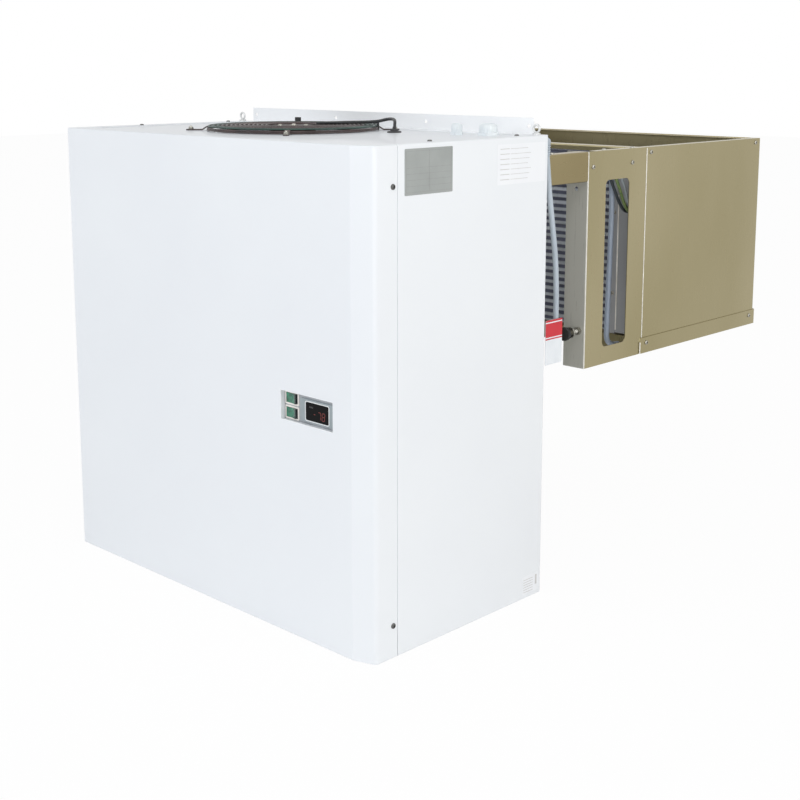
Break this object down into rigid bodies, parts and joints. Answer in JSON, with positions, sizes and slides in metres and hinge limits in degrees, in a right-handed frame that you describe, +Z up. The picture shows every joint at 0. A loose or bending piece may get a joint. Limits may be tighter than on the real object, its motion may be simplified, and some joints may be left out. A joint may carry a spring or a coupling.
{
  "type": "wall-straddling refrigeration unit",
  "caption": "Through-the-wall refrigeration unit: painted condensing cabinet outside, bridge beams over the wall, open stainless evaporator section with fans inside.",
  "frame": {"origin": "on the cabinet's back face at mid width, at the height of the bridge beams' underside, where the wall panel's top outer edge lies", "axes": "+X towards the service side with the data plate, +Y through the wall into the room, +Z up"},
  "size_m": [0.8252, 1.2115, 0.858],
  "materials": {
    "white_paint": "satin powder coat",
    "zinc_steel": "zinc-coated sheet",
    "plated_screws": "zinc plated",
    "guard_black": "semi-gloss black powder coat",
    "fan_black": "black paint",
    "coil_fins": "fine fins",
    "copper_pipe": "drawn pipe, slightly dull",
    "compressor_black": "gloss black",
    "black_rubber": "moulded",
    "black_plastic": "fine texture",
    "pipe_insulation": "closed-cell foam skin",
    "switch_frame": "smooth",
    "rocker_green": "translucent, smooth",
    "controller_grey": "fine texture",
    "screen": "dark tinted window",
    "gland_plastic": "smooth",
    "stainless": "plain cold-rolled stainless sheet",
    "valve_brass": "machined",
    "pale_hose": "smooth sleeve",
    "wires": "smooth sheath",
    "plated_stud": "zinc plated",
    "grey_cable": "smooth sheath",
    "tag_card": "plain card"
  },
  "bodies": {
    "unit": {"front_cover": "white_paint", "side_panel_right": "white_paint", "side_panel_left": "white_paint", "top_panel": "white_paint", "base_pan": "zinc_steel", "back_panel": "zinc_steel", "hanging_flange": "white_paint", "lifting_eyes": "plated_screws", "cabinet_screws": "plated_screws", "condenser_fan_guard": "guard_black", "condenser_fan_motor": "fan_black", "condenser_fan_ring": "zinc_steel", "condenser_shroud": "zinc_steel", "condenser_fins": "coil_fins", "condenser_coil_ends": "copper_pipe", "compressor": "compressor_black", "compressor_mounts": "black_rubber", "compressor_terminal_box": "black_plastic", "liquid_receiver": "compressor_black", "filter_drier": "copper_pipe", "liquid_line": "copper_pipe", "suction_line": "pipe_insulation", "discharge_line": "copper_pipe", "electrical_box": "zinc_steel", "control_plate": "zinc_steel", "rocker_frames": "switch_frame", "controller": "controller_grey", "controller_screen": "screen", "cable_entries": "gland_plastic", "fan_cable": "black_plastic", "bridge_beams": "stainless", "neck_side_right": "stainless", "neck_side_left": "stainless", "box_sides": "stainless", "fan_wall": "stainless", "cross_bar": "stainless", "evaporator_fins": "coil_fins", "evaporator_end_plates": "stainless", "evaporator_bends": "copper_pipe", "suction_header": "copper_pipe", "expansion_valve": "valve_brass", "drain_tray": "stainless", "drain_spout": "black_plastic", "stainless_screws": "plated_screws", "tray_heating_line": "pale_hose", "room_harness": "wires", "spacer_nuts": "plated_stud", "room_fan_guards": "guard_black", "room_fan_motors": "fan_black", "room_fan_rings": "black_plastic", "lead_gland": "black_plastic", "supply_lead": "grey_cable", "lead_tag": "tag_card"},
    "condenser_fan": {"condenser_fan_rotor": "fan_black"},
    "room_fan_left": {"room_fan_rotor_left": "fan_black"},
    "room_fan_right": {"room_fan_rotor_right": "fan_black"},
    "lower_rocker": {"rocker_lower": "rocker_green"},
    "upper_rocker": {"rocker_upper": "rocker_green"},
    "right_spacer": {"spacer_right": "plated_stud"},
    "left_spacer": {"spacer_left": "plated_stud"}
  },
  "joints": [
    {"name": "condenser_fan_spin", "type": "hinge", "parent": "unit", "child": "condenser_fan", "pos_m": [-0.049, -0.18, 0.06], "axis": [0, 0, 1], "continuous": true},
    {"name": "room_fan_left_spin", "type": "hinge", "parent": "unit", "child": "room_fan_left", "pos_m": [-0.19, 0.735, -0.142], "axis": [0, 1, 0], "continuous": true},
    {"name": "room_fan_right_spin", "type": "hinge", "parent": "unit", "child": "room_fan_right", "pos_m": [0.19, 0.735, -0.142], "axis": [0, 1, 0], "continuous": true},
    {"name": "lower_rocker_tilt", "type": "hinge", "parent": "unit", "child": "lower_rocker", "pos_m": [0.2205, -0.4215, -0.3537], "axis": [0, 0, 1], "range_deg": [0, 14]},
    {"name": "upper_rocker_tilt", "type": "hinge", "parent": "unit", "child": "upper_rocker", "pos_m": [0.2205, -0.4215, -0.3291], "axis": [0, 0, 1], "range_deg": [0, 14]},
    {"name": "right_spacer_travel", "type": "slide", "parent": "unit", "child": "right_spacer", "axis": [0, -1, 0], "range_m": [-0.01, 0.018]},
    {"name": "left_spacer_travel", "type": "slide", "parent": "unit", "child": "left_spacer", "axis": [0, -1, 0], "range_m": [-0.01, 0.018]}
  ]
}
